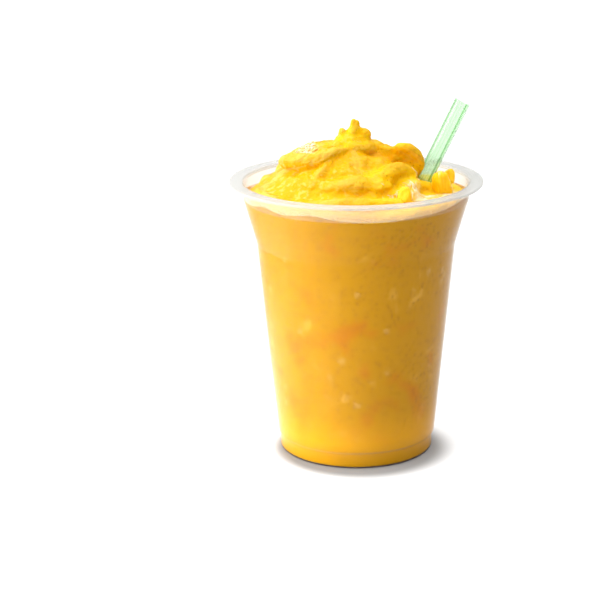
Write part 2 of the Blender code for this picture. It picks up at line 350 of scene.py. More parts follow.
# Inside the foot ring the base slopes up to its recessed floor. The slope's inner side
# is shifted outwards, so that the sheet keeps its thickness there
channel = FOOT_RADIUS - FOOT_ROUND - FOOT_RING
slope_foot = channel + BASE_SLOPE_SHIFT
slope_top = slope_foot - BASE_SLOPE
floor_top = BASE_RECESS + SHEET
inside = [(radius - SHEET, max(height, SHEET)) for radius, height in WALL]
inside[1] = (inside[1][0], SHEET + FOOT_ROUND)
outline = (
    [(0.0, floor_top), (slope_top, floor_top), (slope_foot, SHEET)]
    + inside
    + [
        (NECK_RADIUS - SHEET + FLANGE_LIP, CUP_HEIGHT),
        (FLANGE_RADIUS, CUP_HEIGHT),
        (FLANGE_RADIUS, CUP_HEIGHT - FLANGE_THICK),
    ]
    + list(reversed(WALL))
    + [(channel, 0.0), (channel - BASE_SLOPE, BASE_RECESS), (0.0, BASE_RECESS)]
)
cup_mesh = spun(with_holding_points(outline, CUP_HOLD), CUP_STEPS)
round_rings(cup_mesh, CUP_CORNER, CUP_ROUND, 3)
# The neck, the foot's rim and the step are milkier than the wall, and the flange the most
for face in cup_mesh.faces:
    height = face.calc_center_median().z
    on_step = abs(height - STEP_HEIGHT - 0.5 * STEP_RISE) < MILKY_BAND
    milky = height > NECK_FOOT or height < FOOT_ROUND or on_step
    face.material_index = int(milky) + int(height > CUP_HEIGHT - 1.5 * FLANGE_THICK)
cup = add_piece("cup_sheet", cup_mesh, wall_plastic, neck_plastic, flange_plastic)
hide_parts("cup")


# The smoothie is ripe mango blended with ice: it fills the cup to a wavy line
# under the flange and heaps over it in thick folds laid round and round.
# The heap is made of a turned core with ropes and lumps on it, melted together.
MM = 0.001
POOL_LEVEL = 0.1013
POOL_FLATNESS = 12
CONTACT_LEVEL = 0.0986
# Waves of the line on the wall: heading in degrees, rise, and width in degrees
CONTACT_WAVES = (
    (-143, 0.0014, 9),
    (-113, 0.0012, 10),
    (-80, -0.0009, 14),
    (-22, 0.0017, 18),
    (90, 0.0012, 40),
)
HEAP_RISE = 0.0135
HEAP_FALL = 1.2
HEAP_CENTRE_X = -0.0010
HEAP_REACH = 0.0340
HEAP_REACH_SKEW = 0.0035
HEAP_NOTCH_ANGLE = -38
HEAP_NOTCH_WIDTH = 26
HEAP_NOTCH_DEPTH = 0.0060
CORE_RINGS = 60
CORE_STEPS = 180
SLAB_FOOT = 0.0860
WALL_BITE = 0.00012

# Routes of the folds in millimetres: x, y, height and half the fold's thickness
FOLDS = {
    "shoulder": ((-21, 0, 111.5, 5.2), (-15, -3, 113, 5.8), (-8, -3, 114.5, 5.3)),
    "shoulder_lip": (
        (-26.2, 1, 111.6, 2.8), (-24.4, -3.3, 112.2, 3.4), (-20.7, -8.0, 112.7, 3.6),
        (-16, -10.8, 113.4, 3.5), (-11.8, -11.2, 114.8, 2.9), (-7.5, -9.8, 116.2, 2.0),
        (-3.5, -7.4, 117, 1.2),
    ),
    "middle_tier": (
        (-26.5, 5, 104.2, 4.2), (-26, -4, 104.4, 4.5), (-21.5, -12.5, 104.4, 4.6),
        (-15, -18.5, 104.2, 4.7), (-8, -22, 104.6, 5.0), (0, -22.5, 105.4, 5.2),
        (7, -20.5, 105.4, 4.6),
    ),
    "drape": ((-1, -4, 113.2, 4.4), (-2.4, -9.5, 111.4, 4.2), (-3.4, -15.5, 109.0, 4.2)),
    "side_drape": ((-5.5, -9, 113.2, 2.6), (-9.5, -14, 110.8, 2.8), (-13.5, -18, 108, 2.4)),
    "right_curl": (
        (5.5, 0.2, 116.6, 2.2), (10.5, -1.0, 115.9, 1.9), (14, -2.2, 116.1, 1.7),
        (17, -3.6, 116.9, 1.8), (19.8, -4.2, 117.0, 1.8), (22, -4.0, 115.3, 1.8),
        (23.4, -3.6, 112.6, 1.8), (23.8, -3.2, 109.6, 1.8),
    ),
    "saddle": (
        (8, 1, 112.2, 4.8), (14.5, 0.4, 112.6, 4.2), (19, -0.2, 112.4, 4.0),
        (21.4, -1.0, 108.6, 3.4),
    ),
    "second_wave": (
        (4.5, -19.2, 107, 2.8), (8, -17.6, 108.4, 3.0), (11.4, -15.6, 109.6, 3.1),
        (14.4, -13.2, 110.6, 3.0), (17.2, -10.8, 110.2, 2.8), (19.4, -8.6, 108.2, 2.8),
        (20.6, -6.2, 105.4, 2.8),
    ),
    "wave_bank": (
        (3, -17.5, 104.4, 4.0), (9, -14.6, 106.4, 4.4), (14, -11, 107.4, 4.4),
        (18, -7, 106.6, 4.2),
    ),
    "straw_bank": (
        (16, -13.5, 103.4, 2.6), (19.5, -10.2, 103.8, 2.4), (23, -7.2, 103.5, 2.2),
        (26.2, -5.6, 102.9, 2.0), (29, -6, 101.8, 1.6),
    ),
    "front_mound": (
        (-16, -28.5, 101, 2.8), (-8, -32, 101.4, 3.2), (0, -33.2, 101.8, 3.4),
        (8, -31.5, 101.6, 3.2), (14.5, -28, 101.4, 2.6),
    ),
    "low_layer": (
        (-37, 3, 99.9, 2.2), (-34.5, -12, 100.6, 2.4), (-28.5, -22.5, 100.6, 2.4),
        (-21, -29, 100.4, 2.2),
    ),
    "next_layer": (
        (-31.5, 4, 101.8, 2.6), (-29.5, -9, 102, 2.8), (-24.5, -18, 102, 2.8),
        (-17.5, -24.5, 101.6, 2.6),
    ),
    "back_tier": (
        (-26, 12, 104.6, 4.6), (-18, 22, 104.8, 5.0), (-4, 26.5, 105, 5.2), (10, 24, 105, 4.8),
        (19, 15, 105.5, 4.2),
    ),
    "back_top": (
        (-18, 6, 111.6, 5.0), (-8, 13, 111.8, 5.0), (5, 13, 112, 4.8), (13, 6, 112.6, 4.0),
    ),
    "back_low": (
        (-34, 14, 100.5, 2.8), (-24, 27, 100.5, 3.2), (-8, 34, 100.5, 3.2),
        (10, 32, 100.3, 3.0),
    ),
}
FOLD_FINENESS = 8
FOLD_ROUNDNESS = 6
# Lumps of the crown in millimetres: place, then half sizes
CROWN = (
    ((-1, 0.5, 116.5), (9.6, 7.6, 4.4)),
    ((-1.2, 0.4, 119.4), (7.0, 4.8, 3.2)),
    ((-0.4, 0, 121.6), (3.4, 2.8, 3.0)),
    ((0.2, 0, 123.4), (2.3, 2.0, 2.6)),
    ((-0.6, 0, 125.6), (1.2, 1.3, 1.6)),
    ((0.9, 0.1, 125.2), (1.2, 1.3, 1.6)),
    ((-5.2, 0, 122.2), (1.8, 1.6, 2.3)),
    ((3.2, 0.2, 121.4), (2.6, 2.2, 2.8)),
    ((7.2, 0.6, 116.8), (3.2, 3.0, 2.5)),
)
# Broad mounds under the folds, in the same way
MOUNDS = (
    ((-3, -12, 108.8), (10.5, 8, 4.6)),
    ((0, -8.5, 110.8), (8, 6.5, 4.6)),
    ((1, -18, 105.8), (13, 7.5, 4.4)),
    ((-14, -12, 106.6), (9, 8, 4.2)),
    ((7, -8, 109), (8.5, 7.5, 5.2)),
    ((6, -13.5, 107.6), (9, 6.5, 4.2)),
    ((15.5, -16.5, 101.8), (9, 7, 3.8)),
    ((18.6, -12.2, 103.8), (6, 6.4, 4.2)),
)
LUMP_FINENESS = 4
VOXEL = 0.00050


def turn_between(angle, centre):
    """Turn from one heading to another in degrees, the shorter way round."""
    return (angle - centre + 180) % 360 - 180


def bell(away, width):
    """Share that is 1 at no distance and falls off softly with the width."""
    return math.exp(-((away / width) ** 2))


def contact_height(x, y):
    """Height of the line where the smoothie meets the wall, on the heading of a point."""
    heading = math.degrees(math.atan2(y, x))
    height = CONTACT_LEVEL
    for centre, rise, width in CONTACT_WAVES:
        height += rise * bell(turn_between(heading, centre), width)
    return height


def inside_wall(height):
    """Radius that reaches just into the wall, so that no air shows behind the plastic."""
    return wall_radius(height) - SHEET + WALL_BITE


def heap_height(x, y):
    """Height of the core's top above a point."""
    contact = contact_height(x, y)
    edge = wall_radius(contact) - SHEET
    to_wall = min(math.hypot(x, y) / edge, 1.0)
    pool = contact + (POOL_LEVEL - contact) * (1.0 - to_wall ** POOL_FLATNESS)
    aside = x - HEAP_CENTRE_X
    heading = math.degrees(math.atan2(y, aside))
    notch = HEAP_NOTCH_DEPTH * bell(turn_between(heading, HEAP_NOTCH_ANGLE), HEAP_NOTCH_WIDTH)
    reach = HEAP_REACH - HEAP_REACH_SKEW * math.cos(math.radians(heading)) - notch
    out = min(math.hypot(aside, y) / reach, 1.0)
    return pool + HEAP_RISE * (1.0 - out ** 2) ** HEAP_FALL


def core_of_heap():
    """Turned slab of smoothie whose top follows the heap's height."""
    edge = inside_wall(CONTACT_LEVEL)
    top = [(edge * ring / CORE_RINGS, POOL_LEVEL) for ring in range(CORE_RINGS)]
    foot = [(inside_wall(SLAB_FOOT), SLAB_FOOT), (0.0, SLAB_FOOT)]
    bm = spun(top + [(edge, CONTACT_LEVEL)] + foot, CORE_STEPS)
    for vertex in bm.verts:
        x, y, height = vertex.co
        if height > 0.5 * (CONTACT_LEVEL + POOL_LEVEL):
            vertex.co.z = heap_height(x, y)
    return mesh_from("core", bm)


def finished_mesh(shape):
    """Take the mesh of an object as its bevel or modifiers leave it, and remove the object."""
    bpy.context.view_layer.update()
    graph = bpy.context.evaluated_depsgraph_get()
    data = bpy.data.meshes.new_from_object(shape.evaluated_get(graph))
    bpy.data.objects.remove(shape)
    return data


def fold_of_heap(route):
    """Rope of smoothie along a route of (x, y, height, half thickness) in millimetres."""
    curve = bpy.data.curves.new("fold", "CURVE")
    curve.dimensions = "3D"
    curve.bevel_depth = 1.0
    curve.bevel_resolution = FOLD_ROUNDNESS
    curve.use_fill_caps = True
    curve.resolution_u = FOLD_FINENESS
    spline = curve.splines.new("BEZIER")
    spline.bezier_points.add(len(route) - 1)
    for point, (x, y, height, half) in zip(spline.bezier_points, route):
        point.co = (x * MM, y * MM, height * MM)
        point.handle_left_type = "AUTO"
        point.handle_right_type = "AUTO"
        point.radius = half * MM
    rope = bmesh.new()
    rope.from_mesh(finished_mesh(add_object("fold", curve)))
    bmesh.ops.remove_doubles(rope, verts=rope.verts, dist=MERGE_DISTANCE)
    bmesh.ops.recalc_face_normals(rope, faces=rope.faces)
    return mesh_from("fold", rope)


def lump(place, half_sizes):
    """Ball of smoothie drawn out to its half sizes, in millimetres."""
    bm = bmesh.new()
    bmesh.ops.create_icosphere(bm, subdivisions=LUMP_FINENESS, radius=1.0)
    shape = Matrix.Scale(MM, 4) @ Matrix.Translation(place) @ Matrix.Diagonal((*half_sizes, 1.0))
    bmesh.ops.transform(bm, matrix=shape, verts=bm.verts)
    return mesh_from("lump", bm)


def melted(masses, voxel):
    """Join closed masses into one skin with a voxel remesh."""
    bm = bmesh.new()
    for data in masses:
        bm.from_mesh(data)
    body = add_object("masses", mesh_from("masses", bm))
    skin = body.modifiers.new("skin", "REMESH")
    skin.mode = "VOXEL"
    skin.voxel_size = voxel
    return finished_mesh(body)


masses = [core_of_heap()]
for route in FOLDS.values():
    masses.append(fold_of_heap(route))
    for x, y, height, half in (route[0], route[-1]):
        masses.append(lump((x, y, height), (half, half, half)))
masses += [lump(*knob) for knob in CROWN + MOUNDS]
heap = bmesh.new()
heap.from_mesh(melted(masses, VOXEL))

# What is under the line and this near the wall is pressed to it, and the rest keeps off it
WALL_PULL = 0.0016
WALL_CLEARANCE = 0.0011
CLEARANCE_RISE = 0.0022
# The skin ripples along the folds and has swells, lumps and grain, from coarse to fine.
# All this starts at the line on the wall and is full at this height above it
RELIEF_RISE = 0.003
RIPPLE_WAVES = 2.6
RIPPLE_SPACING = 0.0042
RIPPLE_SLANT = 0.7
RIPPLE_START = 0.006
RIPPLE_GROWTH = 0.012
RIPPLE_DEPTH = 0.00058
SWELL_SEED = 1
SWELL_SIZE = 0.011
SWELL_DEPTH = 0.0009
LUMPS_SHIFT = Vector((7.0, 3.0, 1.0))
LUMPS_SIZE = 0.0045
LUMPS_DEPTH = 0.00035
GRAIN_SIZE = 0.0024
GRAIN_DEPTH = 0.00018
# Layers of the ripples and of the grain: how they fade, how much finer each is, their number
RIPPLE_LAYERS = (0.7, 2.1, 3)
GRAIN_LAYERS = (0.9, 2.2, 3)
# The crown is softened less than the folds
SOFT_PASSES = 12
CROWN_PASSES = 2
CROWN_FOOT = 0.1185


def smooth_step(value):
    """Share that rises from 0 to 1 with a soft start and end."""
    value = min(max(value, 0.0), 1.0)
    return value * value * (3.0 - 2.0 * value)


def soften(bm, verts):
    bmesh.ops.smooth_vert(
        bm, verts=verts, factor=0.5, use_axis_x=True, use_axis_y=True, use_axis_z=True,
    )


def fit_to_wall(vertex):
    """Press what is under the wavy line to the wall, and keep the rest off it."""
    x, y, height = vertex.co
    distance = math.hypot(x, y)
    contact = contact_height(x, y)
    limit = inside_wall(height)
    if height < contact:
        moved = distance > limit - WALL_PULL
    else:
        limit -= WALL_CLEARANCE * smooth_step((height - contact) / CLEARANCE_RISE)
        moved = distance > limit
    if moved:
        scale = limit / distance
        vertex.co.x *= scale
        vertex.co.y *= scale


def ripple(place):
    """Small ridges that run round the heap, along its folds."""
    aside = place.x - HEAP_CENTRE_X
    distance = math.hypot(aside, place.y)
    heading = Vector((aside, place.y)).normalized() if distance > 1e-6 else Vector((1, 0))
    across = (RIPPLE_SLANT * distance + place.z) / RIPPLE_SPACING
    away = smooth_step((distance - RIPPLE_START) / RIPPLE_GROWTH)
    around = Vector((heading.x * RIPPLE_WAVES, heading.y * RIPPLE_WAVES, across))
    return away * noise.fractal(around, *RIPPLE_LAYERS)


for step in range(SOFT_PASSES):
    soft = [vert for vert in heap.verts if step < CROWN_PASSES or vert.co.z < CROWN_FOOT]
    soften(heap, soft)
heap.normal_update()
noise.seed_set(SWELL_SEED)
moves = []
for vertex in heap.verts:
    x, y, height = vertex.co
    free = smooth_step((height - contact_height(x, y)) / RELIEF_RISE)
    swell = SWELL_DEPTH * noise.noise_vector(vertex.co / SWELL_SIZE)
    lumps = LUMPS_DEPTH * noise.noise(vertex.co / LUMPS_SIZE + LUMPS_SHIFT)
    grain = GRAIN_DEPTH * noise.fractal(vertex.co / GRAIN_SIZE, *GRAIN_LAYERS)
    push = RIPPLE_DEPTH * ripple(vertex.co) + lumps + grain
    moves.append((swell + vertex.normal * push) * free)
for vertex, move in zip(heap.verts, moves):
    vertex.co += move
for vertex in heap.verts:
    fit_to_wall(vertex)

# The skin holds three values for its material: hollow, also where it faces down, which paints
# shade into creases and undersides; frosty in streaks; and icy in these spots: middle, half widths
# in millimetres, share
ICY_SPOTS = (
    ((-18.4, -5.0), (4.2, 3.6), 1.0),
    ((20.6, -7.8), (3.0, 1.0), 0.8),
    ((26, -18), (8, 5), 0.5),
    ((35, -8), (5, 9), 0.7),
)
ICY_EDGE = 1.3
HOLLOW_PASSES = 60
HOLLOW_DEPTH = 0.0005
# Faces that look down count as hollow too, so that they take the painted shade
UNDER_START = 0.50
UNDER_SPAN = 0.8
UNDER_SHARE = 0.95
FROST_FINENESS = 2.6
smoothed = heap.copy()
for _ in range(HOLLOW_PASSES):
    soften(smoothed, smoothed.verts)
heap.normal_update()
hollow = heap.verts.layers.float.new("hollow")
frosty = heap.verts.layers.float.new("frosty")
icy_share = heap.verts.layers.float.new("icy")
for vertex, soft in zip(heap.verts, smoothed.verts):
    depth = (soft.co - vertex.co).dot(vertex.normal) / HOLLOW_DEPTH
    under = UNDER_SHARE * smooth_step((UNDER_START - vertex.normal.z) / UNDER_SPAN)
    vertex[hollow] = max(0.5 + 0.5 * max(-1.0, min(1.0, depth)), under)
    vertex[frosty] = 0.5 + 0.5 * ripple(vertex.co * FROST_FINENESS)
    for middle, spread, share in ICY_SPOTS:
        away = math.hypot(
            (vertex.co.x / MM - middle[0]) / spread[0],
            (vertex.co.y / MM - middle[1]) / spread[1],
        )
        vertex[icy_share] = max(vertex[icy_share], share * smooth_step(ICY_EDGE - away))
smoothed.free()

# Under the heap the body is drawn down ring by ring inside the wall, and closed on the floor
CUT_RISE = 0.002
BODY_STOPS = 22
cut_height = SLAB_FOOT + CUT_RISE
bmesh.ops.bisect_plane(
    heap, geom=heap.verts[:] + heap.edges[:] + heap.faces[:], dist=1e-7,
    plane_co=(0, 0, cut_height), plane_no=(0, 0, 1), clear_inner=True,
)
rim = [edge for edge in heap.edges if edge.is_boundary]
stops = []
for step in range(1, BODY_STOPS + 1):
    height = cut_height - (cut_height - STEP_HEIGHT - STEP_RISE) * step / BODY_STOPS
    stops.append((inside_wall(height), height))
in_foot = FOOT_RADIUS - SHEET + WALL_BITE
on_floor = floor_top - WALL_BITE
stops += [
    (in_foot, STEP_HEIGHT),
    (in_foot, SHEET + FOOT_ROUND),
    (in_foot - FOOT_ROUND, SHEET - WALL_BITE),
    (slope_foot, SHEET - WALL_BITE),
    (slope_top, on_floor),
    (0.5 * channel, on_floor),
]


def drawn_out(bm, rim):
    """Extrude a ring of edges and return its new edges and vertices."""
    made = bmesh.ops.extrude_edge_only(bm, edges=rim)["geom"]
    edges = [item for item in made if isinstance(item, bmesh.types.BMEdge)]
    verts = [item for item in made if isinstance(item, bmesh.types.BMVert)]
    return edges, verts


for radius, height in stops:
    rim, ring = drawn_out(heap, rim)
    for vertex in ring:
        scale = radius / math.hypot(vertex.co.x, vertex.co.y)
        vertex.co = Vector((vertex.co.x * scale, vertex.co.y * scale, height))
_, ring = drawn_out(heap, rim)
bmesh.ops.pointmerge(heap, verts=ring, merge_co=(0, 0, on_floor))
bmesh.ops.recalc_face_normals(heap, faces=heap.faces)
for face in heap.faces:
    middle = face.calc_center_median()
    face.material_index = int(middle.z < contact_height(middle.x, middle.y))


def mixed(tree, mask, first, second):
    """Blend two colours, each a socket or a value, by a mask."""
    mix = tree.nodes.new("ShaderNodeMix")
    mix.data_type = "RGBA"
    link(tree, mask, mix.inputs[0])
    for socket, colour in ((mix.inputs[6], first), (mix.inputs[7], second)):
        if isinstance(colour, bpy.types.NodeSocket):
            link(tree, colour, socket)
        else:
            socket.default_value = colour
    return mix.outputs[2]


def calculated_vector(tree, operation, *values):
    return math_node(tree, "ShaderNodeVectorMath", operation, values).outputs["Vector"]


def axes_of_place(tree):
    """Place on the piece as its X, Y and Z."""
    split = tree.nodes.new("ShaderNodeSeparateXYZ")
    link(tree, object_place(tree), split.inputs["Vector"])
    return split.outputs


def attribute(tree, name):
    made = tree.nodes.new("ShaderNodeAttribute")
    made.attribute_name = name
    return made.outputs["Fac"]


def new_effect(name, **inputs):
    """Start a shader node group that turns named values into a mask."""
    group = bpy.data.node_groups.new(name, "ShaderNodeTree")
    for label, value in inputs.items():
        socket = group.interface.new_socket(label, in_out="INPUT", socket_type="NodeSocketFloat")
        socket.default_value = value
    group.interface.new_socket("Mask", in_out="OUTPUT", socket_type="NodeSocketFloat")
    given = group.nodes.new("NodeGroupInput").outputs
    return group, given, group.nodes.new("NodeGroupOutput").inputs["Mask"]


def effect(tree, group, **values):
    """Place an effect in a material with its own values and return its mask."""
    made = tree.nodes.new("ShaderNodeGroup")
    made.node_tree = group
    for name, value in values.items():
        made.inputs[name].default_value = value
    return made.outputs["Mask"]


def add_bump(tree, height, depth):
    bump = add_node(tree, "ShaderNodeBump", Strength=1.0, Distance=depth)
    link(tree, height, bump.inputs["Height"])
    feed(tree, "Normal", bump.outputs["Normal"])


# Soft uneven patches: noise between two levels, drawn out upwards where Upright is low
patches, given, mask = new_effect(
    "patches", Scale=100.0, Detail=3.0, Low=0.4, High=0.6, Upright=1.0,
)
squeeze = add_node(patches, "ShaderNodeCombineXYZ", X=1.0, Y=1.0)
link(patches, given["Upright"], squeeze.inputs["Z"])
squeezed = calculated_vector(patches, "MULTIPLY", object_place(patches), squeeze.outputs["Vector"])
field = patches.nodes.new("ShaderNodeTexNoise")
link(patches, squeezed, field.inputs["Vector"])
link(patches, given["Scale"], field.inputs["Scale"])
link(patches, given["Detail"], field.inputs["Detail"])
level = patches.nodes.new("ShaderNodeMapRange")
level.interpolation_type = "SMOOTHSTEP"
link(patches, field.outputs["Fac"], level.inputs["Value"])
link(patches, given["Low"], level.inputs["From Min"])
link(patches, given["High"], level.inputs["From Max"])
link(patches, level.outputs["Result"], mask)

# Specks: uneven dots in a share of the cells of a Voronoi pattern
specks, given, mask = new_effect("specks", Scale=500.0, Size=0.3, Share=0.3, Wobble=0.0003)
shift = add_node(specks, "ShaderNodeTexNoise", Scale=1400, Detail=1)
link(specks, object_place(specks), shift.inputs["Vector"])
centred = calculated_vector(specks, "SUBTRACT", shift.outputs["Color"], (0.5, 0.5, 0.5))
cells = specks.nodes.new("ShaderNodeTexVoronoi")
moved = calculated_vector(specks, "MULTIPLY_ADD", centred, given["Wobble"], object_place(specks))
link(specks, moved, cells.inputs["Vector"])
link(specks, given["Scale"], cells.inputs["Scale"])
dot = specks.nodes.new("ShaderNodeMapRange")
dot.interpolation_type = "SMOOTHSTEP"
link(specks, cells.outputs["Distance"], dot.inputs["Value"])
link(specks, given["Size"], dot.inputs["From Min"])
link(specks, calculated(specks, "MULTIPLY", given["Size"], 0.4), dot.inputs["From Max"])
channels = specks.nodes.new("ShaderNodeSeparateColor")
link(specks, cells.outputs["Color"], channels.inputs["Color"])
chosen = calculated(specks, "LESS_THAN", channels.outputs["Red"], given["Share"])
link(specks, calculated(specks, "MULTIPLY", dot.outputs["Result"], chosen), mask)

HEAP_YELLOW = (0.59, 0.310, 0.001, 1.0)
HEAP_PAINTED_SHADE = (0.70, 0.340, 0.001, 1.0)
HEAP_PAINTED_LIGHT = (0.80, 0.470, 0.002, 1.0)
HEAP_FROST_AND_HIGHLIGHT = (0.66, 0.45, 0.10, 1.0)
HEAP_ICE = (0.80, 0.68, 0.44, 1.0)
HEAP_SPECK = (0.54, 0.28, 0.002, 1.0)
SKIN_BUMP = 0.0004
smoothie_skin = plain_material(
    "smoothie_skin", HEAP_YELLOW, 0.24, IOR=1.14,
    Subsurface_Weight=0.25, Subsurface_Radius=(1.0, 0.45, 0.08), Subsurface_Scale=0.0015,
)
skin_tree = smoothie_skin.node_tree
skin_place = axes_of_place(skin_tree)
skin_hollow = attribute(skin_tree, "hollow")
# Painted shade: creases and undersides take a deeper orange, standing in for their shade
colour = mixed(skin_tree, stretched(skin_tree, skin_hollow, 0.45, 0.85), HEAP_YELLOW, HEAP_PAINTED_SHADE)
# Painted light: the fruit is a little lighter low at the right and on the crown, as if lit more
# there
right = stretched(skin_tree, skin_place["X"], -0.004, 0.018)
low = stretched(skin_tree, skin_place["Z"], 0.1130, 0.1095)
on_crown = stretched(skin_tree, skin_place["Z"], 0.1160, 0.1210, end=0.5)
light = calculated(skin_tree, "MULTIPLY", right, low)
light = calculated(skin_tree, "MAXIMUM", light, on_crown)
colour = mixed(skin_tree, light, colour, HEAP_PAINTED_LIGHT)
# Frost shows on ridges, in streaks along the folds and in small patches, more at the left.
# It is partly real ice and partly painted highlight, on the ridges and at the lit left
ridge = stretched(skin_tree, skin_hollow, 0.42, 0.05, end=0.45)
streak = stretched(skin_tree, attribute(skin_tree, "frosty"), 0.56, 0.74, end=0.75)
patch = effect(skin_tree, patches, Scale=420, Detail=5, Low=0.53, High=0.63)
frost = calculated(skin_tree, "MAXIMUM", ridge, streak)
frost = calculated(skin_tree, "MAXIMUM", frost, calculated(skin_tree, "MULTIPLY", patch, 0.7))
# Frost and painted highlight are stronger towards the lit left
left = stretched(skin_tree, skin_place["X"], 0.012, -0.022, 0.20, 0.75)
colour = mixed(skin_tree, calculated(skin_tree, "MULTIPLY", frost, left), colour, HEAP_FROST_AND_HIGHLIGHT)
speck = effect(skin_tree, specks, Scale=800, Size=0.34, Share=0.25)
colour = mixed(skin_tree, speck, colour, HEAP_SPECK)
flakes = effect(skin_tree, patches, Scale=650, Detail=4, Low=0.32, High=0.55)
icy_cover = calculated(skin_tree, "MULTIPLY", attribute(skin_tree, "icy"), flakes)
feed(skin_tree, "Base Color", mixed(skin_tree, icy_cover, colour, HEAP_ICE))
uneven = effect(skin_tree, patches, Scale=600, Detail=4, Low=0.1, High=0.9)
add_bump(skin_tree, uneven, SKIN_BUMP)

# Against the wall it is smooth, with orange and pale clouds, brown specks and pale pockets
PRESSED_GOLD = (0.465, 0.225, 0.001, 1.0)
PRESSED_ORANGE = (0.48, 0.175, 0.001, 1.0)
PRESSED_PALE = (0.58, 0.31, 0.03, 1.0)
PRESSED_BROWN = (0.24, 0.09, 0.001, 1.0)
PRESSED_FOOT_PAINTED_LIGHT = (0.75, 0.352, 0.001, 1.0)
PRESSED_ICE = (0.58, 0.36, 0.09, 1.0)
PRESSED_FOOT_HEIGHT = 0.026
smoothie_pressed = plain_material(
    "smoothie_pressed", PRESSED_GOLD, 0.6, Specular_IOR_Level=0.0,
    Sheen_Weight=0.36, Sheen_Tint=(1.0, 0.88, 0.50, 1.0), Sheen_Roughness=0.3,
)
pressed_tree = smoothie_pressed.node_tree
blotch = effect(pressed_tree, patches, Scale=75, Detail=3, Low=0.54, High=0.72)
colour = mixed(pressed_tree, blotch, PRESSED_GOLD, PRESSED_ORANGE)
cloud = effect(pressed_tree, patches, Scale=130, Detail=3, Low=0.58, High=0.80)
colour = mixed(pressed_tree, cloud, colour, PRESSED_PALE)
speck = effect(pressed_tree, specks, Scale=720, Size=0.45, Share=0.50, Wobble=0.0004)
speck = calculated(pressed_tree, "MULTIPLY", speck, 0.70)
colour = mixed(pressed_tree, speck, colour, PRESSED_BROWN)
pocket = effect(pressed_tree, specks, Scale=190, Size=0.34, Share=0.14, Wobble=0.0036)
pocket = calculated(pressed_tree, "MULTIPLY", pocket, 0.45)
colour = mixed(pressed_tree, pocket, colour, PRESSED_ICE)
# Painted light: the colour turns lighter down towards the foot, to make up for the unglowing floor
# there
at_foot = stretched(pressed_tree, axes_of_place(pressed_tree)["Z"], PRESSED_FOOT_HEIGHT, 0.0)
feed(pressed_tree, "Base Color", mixed(pressed_tree, at_foot, colour, PRESSED_FOOT_PAINTED_LIGHT))
surface = BVHTree.FromBMesh(heap)
smoothie = add_piece("smoothie_body", heap, smoothie_skin, smoothie_pressed)
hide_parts("smoothie")


# A thin smear of smoothie clings to the inside of the neck, above the line
# where the smoothie ends. It is palest along that line and thins out upwards.
FILM_TOP = 0.1030
FILM_DROP = 0.0040
FILM_DROP_SLOPE = 0.9
FILM_GAP = 0.00006
FILM_THICK = 0.00012
FILM_OVERLAP = 0.0002
FILM_LEAST = 0.0004
FILM_WAVE = 0.0006
FILM_WAVES = 3.0
FILM_ROWS = 10
FILM_STEPS = 180
# It is turned as a ring of height 1 between two radii, and its points are then set on the wall
RING_INNER = 1.0
RING_OUTER = 2.0
film_outline = (
    [(RING_OUTER, row / FILM_ROWS) for row in range(FILM_ROWS + 1)]
    + [(RING_INNER, 1.0 - row / FILM_ROWS) for row in range(FILM_ROWS + 1)]
    + [(RING_OUTER, 0.0)]
)
film_mesh = spun(film_outline, FILM_STEPS)
thinness = film_mesh.verts.layers.float.new("thinness")
for vertex in film_mesh.verts:
    x, y, share = vertex.co
    heading = math.atan2(y, x)
    outer = math.hypot(x, y) > 0.5 * (RING_INNER + RING_OUTER)
    foot = contact_height(x, y) - FILM_OVERLAP
    top = FILM_TOP - FILM_DROP * smooth_step(0.5 + FILM_DROP_SLOPE * math.sin(heading))
    along = Vector((math.cos(heading) * FILM_WAVES, math.sin(heading) * FILM_WAVES, 0.0))
    top += FILM_WAVE * noise.noise(along)
    height = foot + max(top - foot, FILM_LEAST) * share
    radius = wall_radius(height) - SHEET - FILM_GAP - (0.0 if outer else FILM_THICK)
    vertex[thinness] = (height - foot) / (FILM_TOP - CONTACT_LEVEL)
    vertex.co = Vector((radius * math.cos(heading), radius * math.sin(heading), height))
FILM_PEACH = (0.64, 0.37, 0.045, 1.0)
FILM_CREAM = (0.70, 0.46, 0.09, 1.0)
film_skin = plain_material("smoothie_smear", FILM_PEACH, 0.35, IOR=1.1)
film_tree = film_skin.node_tree
film_thin = attribute(film_tree, "thinness")
near_line = stretched(film_tree, film_thin, 0.22, 0.06)
colour = mixed(film_tree, near_line, FILM_PEACH, FILM_CREAM)
cloudy = effect(film_tree, patches, Scale=260, Detail=4, Low=0.52, High=0.72)
feed(film_tree, "Base Color", mixed(film_tree, cloudy, colour, FILM_CREAM))
thick = stretched(film_tree, film_thin, 1.0, 0.0, 0.10, 0.70)
gaps = effect(film_tree, patches, Scale=190, Detail=4, Low=0.30, High=0.62)
cover = calculated(film_tree, "MULTIPLY_ADD", gaps, 0.55, 0.45)
feed(film_tree, "Alpha", calculated(film_tree, "MULTIPLY", thick, cover))
film = add_piece("smoothie_smear", film_mesh, film_skin)


# The straw is a thin extruded tube of pale green see-through plastic, cut square.
# It stands loose in the left corner of the base and leans out over the right of the cup.
STRAW_RADIUS = 0.0030
STRAW_WALL = 0.00045
STRAW_ENTRY = Vector((0.0251, 0.0, 0.1038))
STRAW_AXIS = Vector((0.4365, 0.0609, 0.8976)).normalized()
STRAW_ABOVE = 0.0329
STRAW_FOOT_HEIGHT = 0.0043
STRAW_SIDES = 96
STRAW_HOLD = 0.0008
STRAW_CORNER = 60
STRAW_ROUND = 0.00008
# Deeper green lines along the tube: angle round it, width in degrees, and strength.
# The two strong lines are painted shade, where the tube's walls are seen edge-on from the camera
STRAW_LINES = (
    (203, 10, 1.0), (304, 8, 1.0), (246, 5, 0.30), (268, 4, 0.22), (332, 8, 0.35), (120, 6, 0.35),
)
STRAW_GREEN = (0.86, 0.945, 0.865, 1.0)
STRAW_SHADE_GREEN = (0.26, 0.50, 0.22, 1.0)
STRAW_TINT = (0.27, 0.74, 0.20, 1.0)
STRAW_DENSITY = 330

